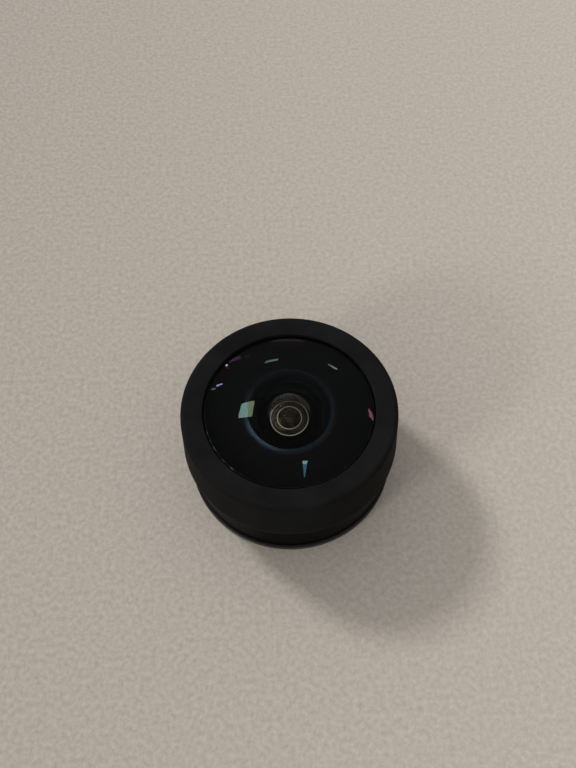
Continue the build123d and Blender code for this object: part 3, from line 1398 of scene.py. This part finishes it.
    def floor(self) -> bpy.types.Object:
        """Makes the plain pale floor: a fine pebbly grain, and painted light that makes it slightly paler to
        the right.

        Returns:
            The floor.
        """
        half = self.floor_size / 2
        corners = [(-half, -half, 0), (half, -half, 0), (half, half, 0), (-half, half, 0)]
        mesh = bpy.data.meshes.new("floor")
        mesh.from_pydata(corners, [], [(0, 1, 2, 3)])
        sheet = NodeSheet.paint("floor_paint")
        spot = sheet.place()
        mottle = sheet.math("MULTIPLY", sheet.noise(spot, self.mottle_size), self.mottle)
        # Painted light: the ramp's factor rises from left to right, so the floor is paler to the right.
        across = sheet.math("DIVIDE", sheet.axis(spot, 0), self.painted_light_width)
        share = sheet.math("ADD", sheet.math("ADD", across, 0.5 - 0.5 * self.mottle), mottle)
        dark, light = (scaled(self.floor_colour, 1 + side * self.painted_light_slope) for side in (-1, 1))
        settings = {
            "Base Color": sheet.ramp(share, [(0.0, dark), (1.0, light)]),
            "Roughness": 0.8,
            "Specular IOR Level": 0.1,
            "Normal": sheet.grain(self.grain_size, self.grain_depth),
        }
        mesh.materials.append(sheet.finish("BsdfPrincipled", settings))
        floor = bpy.data.objects.new("floor", mesh)
        bpy.context.scene.collection.objects.link(floor)
        return floor

    def card(self, window: Window, mirrors: bpy.types.Collection) -> bpy.types.Object:
        """Places a card so that the dome mirrors it at the window's pixels.

        Args:
            window: The window.
            mirrors: The collection of the pieces that it shows in.

        Returns:
            The card.
        """
        apex = Vector((0, 0, top_of("front_element")))
        centre = apex - Vector((0, 0, self.glass.dome_curve))
        corners = []
        for across, down in window.corners:
            start, direction = self.camera.ray(across, down)
            along = (start - centre).dot(direction)
            gap = (start - centre).length_squared - self.glass.dome_curve**2
            hit = start + direction * (-along - math.sqrt(along**2 - gap))
            normal = (hit - centre).normalized()
            mirrored = direction - 2 * direction.dot(normal) * normal
            corners.append(hit + mirrored * self.card_distance)
        mesh = bpy.data.meshes.new(window.name)
        mesh.from_pydata([tuple(corner) for corner in corners], [], [tuple(range(len(corners)))])
        card = self.reflection(window.name, mesh, window.colour, window.strength)
        card.light_linking.receiver_collection = mirrors
        card.visible_glossy = window.seen is Seen.MIRRORED
        card.visible_transmission = window.seen is Seen.THROUGH
        return card

    def reflection(
        self, name: str, mesh: bpy.types.Mesh, colour: Colour, strength: float
    ) -> bpy.types.Object:
        """Adds a glowing piece of the surroundings that shows in reflections alone.

        Args:
            name: Its name.
            mesh: Its mesh.
            colour: Its colour.
            strength: Its brightness.

        Returns:
            The object.
        """
        glow = NodeSheet.paint(name).finish("Emission", {"Color": (*colour, 1.0), "Strength": strength})
        glow.cycles.emission_sampling = "NONE"
        mesh.materials.append(glow)
        piece = bpy.data.objects.new(name, mesh)
        piece.visible_camera = piece.visible_diffuse = piece.visible_shadow = False
        piece.visible_transmission = piece.visible_volume_scatter = False
        bpy.context.scene.collection.objects.link(piece)
        return piece

    def room(self, name: str, strength: float) -> bpy.types.Object:
        """Puts an evenly bright half-sphere over the lens.

        Args:
            name: Its name.
            strength: Its brightness.

        Returns:
            The half-sphere.
        """
        outline = Profile(0, self.room_radius).bow(self.room_span * self.room_radius, self.room_radius)
        mesh = turned_mesh(name, outline, segments=self.room_segments)
        return self.reflection(name, mesh, self.sky_colour, strength)

    def surroundings(self, mirrors: bpy.types.Collection) -> None:
        """Adds what the glass's outer face mirrors, and what the pieces behind it see through it.

        Args:
            mirrors: The collection that holds the front glass.
        """
        self.room("dim_room", self.room_glow)
        window = self.blue_window
        for piece in (
            self.room("inner_room", self.inner_glow),
            self.reflection(window.name, window.mesh(), window.colour, window.strength),
        ):
            piece.visible_glossy, piece.visible_transmission = False, True
            piece.light_linking.receiver_collection = mirrors

    def sky(self) -> None:
        """Sets the soft light from all round, brighter overhead and a little behind the lens."""
        sheet = NodeSheet(bpy.data.worlds.new("soft_room"), "World")
        direction = sheet.add("ShaderNodeTexCoord").outputs["Generated"]
        heights = {"Value": sheet.axis(direction, 2), "To Min": self.horizon, "To Max": self.zenith}
        level = sheet.add("ShaderNodeMapRange", heights).outputs[0]
        facing = sheet.along(direction, toward_sky(self.glow_azimuth, self.glow_elevation))
        soft = sheet.math("POWER", sheet.math("MAXIMUM", facing, 0.0), self.glow_power)
        strength = sheet.math("ADD", sheet.math("MULTIPLY", soft, self.side_glow), level)
        bpy.context.scene.world = sheet.finish(
            "Background", {"Color": (*self.sky_colour, 1.0), "Strength": strength}
        )

    def build(self) -> None:
        """Sets up the floor, the lights and the view."""
        self.floor()
        self.sky()
        for lamp in self.lamps:
            lamp.build()
        mirrors = bpy.data.collections.new("mirrors")
        mirrors.objects.link(self.front_piece)
        for window in self.windows:
            self.card(window, mirrors)
        self.surroundings(mirrors)
        bpy.context.scene.view_settings.view_transform = "Standard"


def main() -> None:
    """Builds the lens, its camera and its studio."""
    logging.basicConfig(level=logging.INFO, format="%(name)s: %(message)s")
    glass = FrontGlass()
    FrontBezel().build()
    front_piece = glass.build()
    InnerOptics().build()
    Barrel().build()
    Housing().build()
    MountRing().build()
    camera = PhotoCamera()
    camera.build()
    Studio(camera, glass, front_piece).build()


if __name__ == "__main__":
    main()
